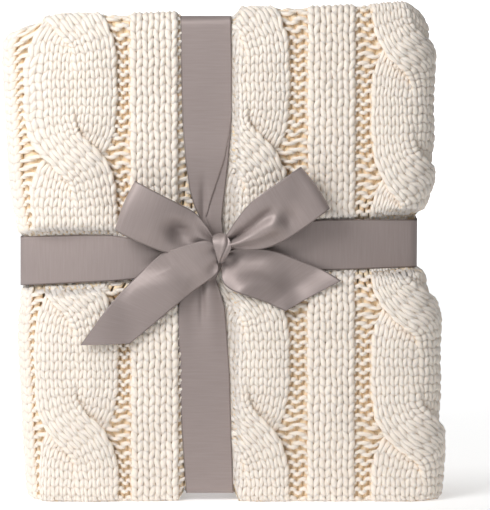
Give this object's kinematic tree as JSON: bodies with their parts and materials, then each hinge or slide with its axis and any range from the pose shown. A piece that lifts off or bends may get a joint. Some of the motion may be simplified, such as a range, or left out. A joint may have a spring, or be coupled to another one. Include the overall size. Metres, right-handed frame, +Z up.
{
  "type": "folded throw blanket",
  "caption": "Cream cable-knit throw folded into an upright stack, tied both ways with a satin ribbon and a bow whose loops and tails lift.",
  "frame": {"origin": "middle of the overall box on the surface that the stack stands on", "axes": "+Z up the stack, -Y out of the front, where the bow is, +X to the right seen from the front"},
  "size_m": [0.3264, 0.108, 0.3842],
  "materials": {
    "yarn": "soft matt spun yarn, chunky cable knit",
    "ribbon": "taupe satin with a woven edge"
  },
  "bodies": {
    "wrapped_throw": {"front_leaf": "yarn", "front_inner_leaf": "yarn", "back_inner_leaf": "yarn", "back_leaf": "yarn", "front_right_fold": "yarn", "back_right_fold": "yarn", "left_fold": "yarn", "ribbon_upright": "ribbon", "ribbon_crosswise": "ribbon", "knot": "ribbon"},
    "loop_left": {"loop_left": "ribbon"},
    "loop_right": {"loop_right": "ribbon"},
    "tail_left": {"tail_left": "ribbon"},
    "tail_right": {"tail_right": "ribbon"}
  },
  "joints": [
    {"name": "loop_left_lift", "type": "hinge", "parent": "wrapped_throw", "child": "loop_left", "pos_m": [-0.01287, -0.038, 0.204], "axis": [0.4226, 0, 0.9063], "range_deg": [0, 60], "stiffness_Nm_per_rad": 0.003, "springref_deg": -8.59},
    {"name": "loop_right_lift", "type": "hinge", "parent": "wrapped_throw", "child": "loop_right", "pos_m": [0.01177, -0.038, 0.20594], "axis": [0.5592, 0, -0.829], "range_deg": [0, 60], "stiffness_Nm_per_rad": 0.003, "springref_deg": -8.59},
    {"name": "tail_left_lift", "type": "hinge", "parent": "wrapped_throw", "child": "tail_left", "pos_m": [-0.00935, -0.03275, 0.19016], "axis": [-0.6428, 0, 0.766], "range_deg": [0, 50]},
    {"name": "tail_right_lift", "type": "hinge", "parent": "wrapped_throw", "child": "tail_right", "pos_m": [0.01077, -0.03275, 0.19227], "axis": [-0.4695, 0, -0.8829], "range_deg": [0, 50]}
  ]
}
